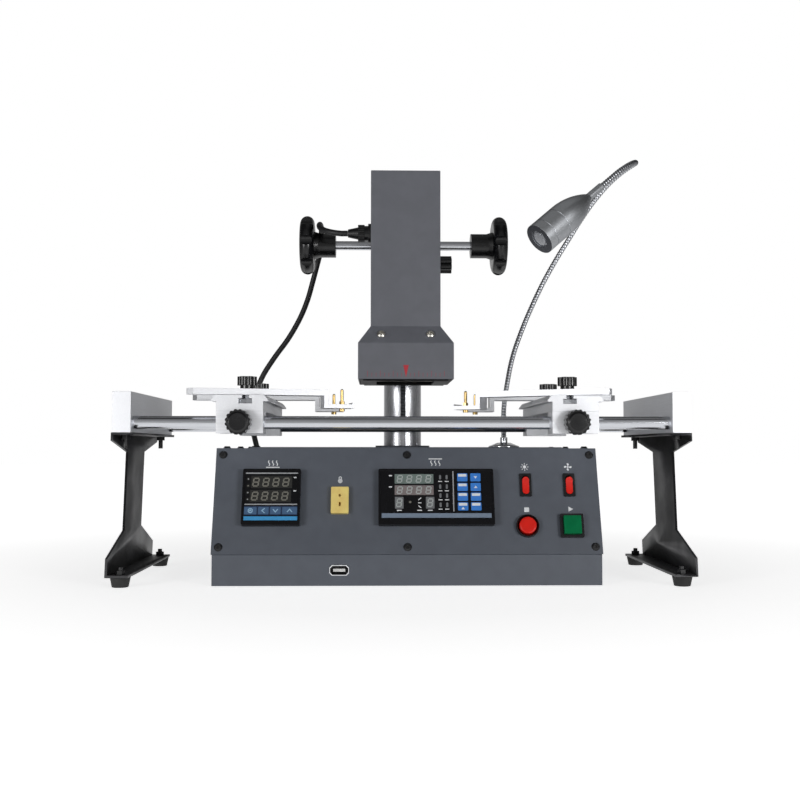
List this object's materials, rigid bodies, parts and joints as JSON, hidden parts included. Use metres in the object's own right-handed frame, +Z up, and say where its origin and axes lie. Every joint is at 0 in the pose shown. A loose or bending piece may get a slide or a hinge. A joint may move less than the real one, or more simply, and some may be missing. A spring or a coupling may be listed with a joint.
{
  "type": "bga rework station",
  "caption": "Infrared board rework station: base with preheater and controllers, heater head lifting on a rack column, sliding board jig with swivelling arms, and a gooseneck lamp.",
  "frame": {"origin": "centre of the base's underside on the bench", "axes": "+X to the operator's right, +Y from the control panel to the back, +Z up"},
  "size_m": [0.7196, 0.3795, 0.5809],
  "materials": {
    "slate_paint": "satin powder coat",
    "head_paint": "satin powder coat",
    "black_paint": "satin",
    "aluminium": "milled, clear anodised",
    "polished_steel": "polished",
    "steel": "machined",
    "black_plastic": "moulded",
    "black_gloss": "moulded",
    "yellow_plastic": "moulded",
    "red_plastic": "translucent",
    "green_plastic": "translucent",
    "ceramic": "glazed",
    "rubber": "matt"
  },
  "bodies": {
    "root": {"base_tray": "slate_paint", "base_cover": "slate_paint", "front_panel": "slate_paint", "case_screws": "black_paint", "top_plate": "slate_paint", "preheater_tray": "steel", "preheater_tiles": "ceramic", "lower_controller": "black_gloss", "upper_controller": "black_gloss", "sensor_socket": "yellow_plastic", "usb_port": "polished_steel", "control_bezels": "black_gloss", "power_inlet": "black_plastic", "column": "polished_steel", "column_rack": "steel", "column_flange": "head_paint", "end_blocks": "aluminium", "guide_rods": "polished_steel", "legs": "black_paint", "leg_bolts": "black_paint", "jig_feet": "rubber", "head_cable": "rubber", "base_gland": "black_plastic", "lamp_base": "aluminium", "gooseneck": "steel"},
    "head": {"head_shell": "head_paint", "heater_plate": "ceramic", "heater_rim": "black_paint", "lift_block": "head_paint", "head_screws": "polished_steel", "fan_frame": "black_plastic", "fan_guard": "polished_steel", "head_socket": "black_plastic"},
    "lift_drive": {"pinion_shaft": "polished_steel", "handwheels": "black_plastic"},
    "lock_screw": {"lock_knob": "black_plastic"},
    "fan_wheel": {"fan_rotor": "black_plastic"},
    "left_slide": {"left_carriage": "aluminium", "left_rail": "aluminium"},
    "left_clamp": {"left_clamp_knob": "black_plastic"},
    "right_slide": {"right_carriage": "aluminium", "right_rail": "aluminium"},
    "right_clamp": {"right_clamp_knob": "black_plastic"},
    "lamp": {"lamp_head": "aluminium"},
    "stop_cap": {"stop_button": "red_plastic"},
    "start_cap": {"start_button": "green_plastic"},
    "light_switch": {"light_rocker": "red_plastic"},
    "fan_switch": {"fan_rocker": "red_plastic"},
    "left_front_slider": {"left_front_stud": "steel"},
    "left_front_swing": {"left_front_arm": "aluminium"},
    "left_front_nut": {"left_front_knob": "black_plastic"},
    "left_rear_slider": {"left_rear_stud": "steel"},
    "left_rear_swing": {"left_rear_arm": "aluminium"},
    "left_rear_nut": {"left_rear_knob": "black_plastic"},
    "right_front_slider": {"right_front_stud": "steel"},
    "right_front_swing": {"right_front_arm": "aluminium"},
    "right_front_nut": {"right_front_knob": "black_plastic"},
    "right_rear_slider": {"right_rear_stud": "steel"},
    "right_rear_swing": {"right_rear_arm": "aluminium"},
    "right_rear_nut": {"right_rear_knob": "black_plastic"}
  },
  "joints": [
    {"name": "head_lift", "type": "slide", "parent": "root", "child": "head", "axis": [0, 0, 1], "range_m": [-0.008, 0.06], "deforming": ["head_cable"]},
    {"name": "handwheel_turn", "type": "hinge", "parent": "head", "child": "lift_drive", "pos_m": [0, 0.052, 0.463], "axis": [1, 0, 0], "range_deg": [-275, 38]},
    {"name": "lock_turn", "type": "hinge", "parent": "head", "child": "lock_screw", "pos_m": [0.06, 0.0946, 0.443], "axis": [1, 0, 0], "range_deg": [-120, 120]},
    {"name": "fan_spin", "type": "hinge", "parent": "head", "child": "fan_wheel", "pos_m": [0, -0.02175, 0.53], "axis": [0, 0, 1], "continuous": true},
    {"name": "left_carriage_slide", "type": "slide", "parent": "root", "child": "left_slide", "axis": [1, 0, 0], "range_m": [-0.038, 0.05]},
    {"name": "left_clamp_turn", "type": "hinge", "parent": "left_slide", "child": "left_clamp", "pos_m": [-0.205, -0.196, 0.2], "axis": [0, 1, 0], "range_deg": [-120, 120]},
    {"name": "left_front_along_rail", "type": "slide", "parent": "left_slide", "child": "left_front_slider", "axis": [0, 1, 0], "range_m": [0, 0.025]},
    {"name": "left_front_swivel", "type": "hinge", "parent": "left_front_slider", "child": "left_front_swing", "pos_m": [-0.198, -0.17, 0.24], "axis": [0, 0, 1], "range_deg": [-15, 5]},
    {"name": "left_front_knob_turn", "type": "hinge", "parent": "left_front_slider", "child": "left_front_nut", "pos_m": [-0.198, -0.17, 0.25], "axis": [0, 0, 1], "range_deg": [-120, 120]},
    {"name": "left_rear_along_rail", "type": "slide", "parent": "left_slide", "child": "left_rear_slider", "axis": [0, 1, 0], "range_m": [-0.02, 0.055]},
    {"name": "left_rear_swivel", "type": "hinge", "parent": "left_rear_slider", "child": "left_rear_swing", "pos_m": [-0.198, -0.025, 0.24], "axis": [0, 0, 1], "range_deg": [-5, 15]},
    {"name": "left_rear_knob_turn", "type": "hinge", "parent": "left_rear_slider", "child": "left_rear_nut", "pos_m": [-0.198, -0.025, 0.25], "axis": [0, 0, 1], "range_deg": [-120, 120]},
    {"name": "right_carriage_slide", "type": "slide", "parent": "root", "child": "right_slide", "axis": [-1, 0, 0], "range_m": [-0.03, 0.05]},
    {"name": "right_clamp_turn", "type": "hinge", "parent": "right_slide", "child": "right_clamp", "pos_m": [0.205, -0.196, 0.2], "axis": [0, 1, 0], "range_deg": [-120, 120]},
    {"name": "right_front_along_rail", "type": "slide", "parent": "right_slide", "child": "right_front_slider", "axis": [0, 1, 0], "range_m": [0, 0.025]},
    {"name": "right_front_swivel", "type": "hinge", "parent": "right_front_slider", "child": "right_front_swing", "pos_m": [0.198, -0.17, 0.24], "axis": [0, 0, -1], "range_deg": [-28, 2]},
    {"name": "right_front_knob_turn", "type": "hinge", "parent": "right_front_slider", "child": "right_front_nut", "pos_m": [0.198, -0.17, 0.25], "axis": [0, 0, 1], "range_deg": [-120, 120]},
    {"name": "right_rear_along_rail", "type": "slide", "parent": "right_slide", "child": "right_rear_slider", "axis": [0, 1, 0], "range_m": [-0.02, 0.055]},
    {"name": "right_rear_swivel", "type": "hinge", "parent": "right_rear_slider", "child": "right_rear_swing", "pos_m": [0.198, -0.025, 0.24], "axis": [0, 0, -1], "range_deg": [-5, 15]},
    {"name": "right_rear_knob_turn", "type": "hinge", "parent": "right_rear_slider", "child": "right_rear_nut", "pos_m": [0.198, -0.025, 0.25], "axis": [0, 0, 1], "range_deg": [-120, 120]},
    {"name": "stop_press", "type": "slide", "parent": "root", "child": "stop_cap", "axis": [0, 0.9494, -0.314], "range_m": [0, 0.004], "stiffness_N_per_m": 800},
    {"name": "start_press", "type": "slide", "parent": "root", "child": "start_cap", "axis": [0, 0.9494, -0.314], "range_m": [0, 0.004], "stiffness_N_per_m": 800},
    {"name": "light_switch_tilt", "type": "hinge", "parent": "root", "child": "light_switch", "pos_m": [0.149, -0.13953, 0.12057], "axis": [-1, 0, 0], "range_deg": [0, 16]},
    {"name": "fan_switch_tilt", "type": "hinge", "parent": "root", "child": "fan_switch", "pos_m": [0.204, -0.13953, 0.12057], "axis": [-1, 0, 0], "range_deg": [0, 16]},
    {"name": "lamp_swing", "type": "hinge", "parent": "root", "child": "lamp", "pos_m": [0.152, 0.105, 0.19], "axis": [0, 0, 1], "range_deg": [-15, 15], "deforming": ["gooseneck"]}
  ],
  "couplings": [
    {"joint": "handwheel_turn", "follows": "head_lift", "rad_per_m": -79.365}
  ]
}
